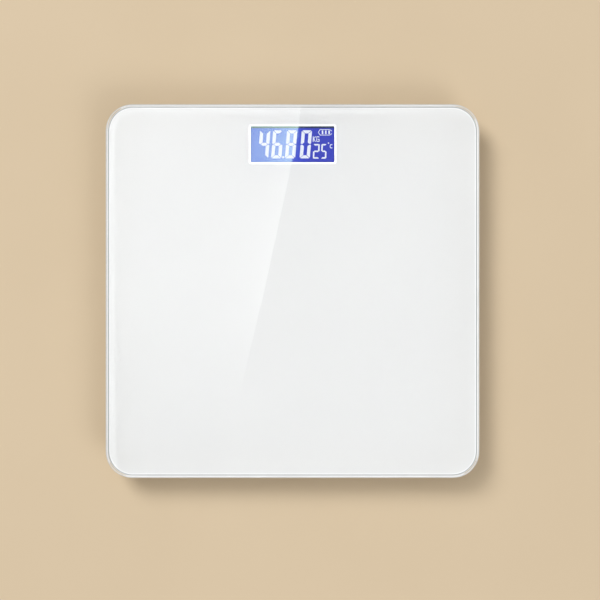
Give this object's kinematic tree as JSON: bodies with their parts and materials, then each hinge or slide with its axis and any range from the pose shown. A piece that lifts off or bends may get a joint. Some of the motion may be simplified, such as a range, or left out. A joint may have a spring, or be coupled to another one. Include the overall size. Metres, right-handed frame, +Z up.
{
  "type": "bathroom scale",
  "caption": "Square digital bathroom scale: round-cornered white glass platform with a small lit display, on a thin base with four weighing feet.",
  "frame": {"origin": "on the floor, under the middle of the platform", "axes": "+Z up through the glass, +Y from the user's heels towards the display, +X to the user's right"},
  "size_m": [0.28, 0.28, 0.025],
  "materials": {
    "clear_glass": "polished clear float glass, tempered",
    "white_film": "screen-printed white",
    "foam_tape": "soft acrylic foam",
    "tray_plastic": "fine spark-eroded texture",
    "holder_plastic": "moulded, plain",
    "foot_plastic": "moulded, plain",
    "foot_rubber": "soft matt rubber",
    "cell_steel": "blanked and plated",
    "gauge_coat": "silicone coat",
    "wire_sleeve": "PVC sleeve",
    "lead_sleeve": "PVC sleeve",
    "screw_steel": "zinc plated",
    "board_laminate": "solder resist over glass fibre",
    "resin_black": "poured epoxy",
    "capacitor_can": "sleeved can",
    "resistor_body": "ceramic body, tinned ends",
    "crystal_can": "drawn can",
    "thermistor_bead": "epoxy bead",
    "switch_case": "moulded, plain",
    "plunger_plastic": "moulded, plain",
    "button_plastic": "moulded, plain",
    "frame_plastic": "white, plain",
    "polariser": "anti-glare film",
    "lcd_glass": "thin flat glass",
    "guide_acrylic": "clear acrylic, lit from both ends",
    "reflector_film": "white film",
    "zebra_rubber": "layered silicone",
    "lamp_lens": "clear epoxy over a blue lamp",
    "battery_jacket": "printed sleeve on a plated can",
    "contact_steel": "nickel plated",
    "label_paper": "matt silver film, blank"
  },
  "bodies": {
    "platform": {"backing_film": "white_film", "backlight_lamps": "lamp_lens", "base_tray": "tray_plastic", "battery_1": "battery_jacket", "battery_2": "battery_jacket", "battery_leads": "lead_sleeve", "board_capacitors": "capacitor_can", "board_resistors": "resistor_body", "board_screws": "screw_steel", "bonding_tape": "foam_tape", "cell_holder_front_left": "holder_plastic", "cell_holder_front_right": "holder_plastic", "cell_holder_rear_left": "holder_plastic", "cell_holder_rear_right": "holder_plastic", "cell_wires_front_left": "wire_sleeve", "cell_wires_front_right": "wire_sleeve", "cell_wires_rear_left": "wire_sleeve", "cell_wires_rear_right": "wire_sleeve", "contact_bridge": "contact_steel", "contact_negative": "contact_steel", "contact_positive": "contact_steel", "contact_springs": "contact_steel", "crystal": "crystal_can", "foot_cap_front_left": "foot_plastic", "foot_cap_front_right": "foot_plastic", "foot_cap_rear_left": "foot_plastic", "foot_cap_rear_right": "foot_plastic", "foot_pad_front_left": "foot_rubber", "foot_pad_front_right": "foot_rubber", "foot_pad_rear_left": "foot_rubber", "foot_pad_rear_right": "foot_rubber", "front_polariser": "polariser", "glass_platform": "clear_glass", "holder_screws": "screw_steel", "lcd_frame": "frame_plastic", "lcd_front_glass": "lcd_glass", "lcd_rear_glass": "lcd_glass", "light_guide": "guide_acrylic", "load_cell_front_left": "cell_steel", "load_cell_front_right": "cell_steel", "load_cell_rear_left": "cell_steel", "load_cell_rear_right": "cell_steel", "main_board": "board_laminate", "processor_cap": "resin_black", "rating_label": "label_paper", "rear_polariser": "polariser", "reflector_sheet": "reflector_film", "strain_gauge_front_left": "gauge_coat", "strain_gauge_front_right": "gauge_coat", "strain_gauge_rear_left": "gauge_coat", "strain_gauge_rear_right": "gauge_coat", "thermistor": "thermistor_bead", "unit_switch": "switch_case", "zebra_strip": "zebra_rubber"},
    "battery_door": {"battery_door": "tray_plastic"},
    "unit_button": {"unit_button": "button_plastic", "switch_plunger": "plunger_plastic"}
  },
  "joints": [
    {"name": "door_hinge", "type": "hinge", "parent": "platform", "child": "battery_door", "pos_m": [0, 0.00515, 0.0065], "axis": [-1, 0, 0], "range_deg": [0, 42]},
    {"name": "button_press", "type": "slide", "parent": "platform", "child": "unit_button", "axis": [0, 0, 1], "range_m": [0, 0.0005], "stiffness_N_per_m": 2500}
  ]
}
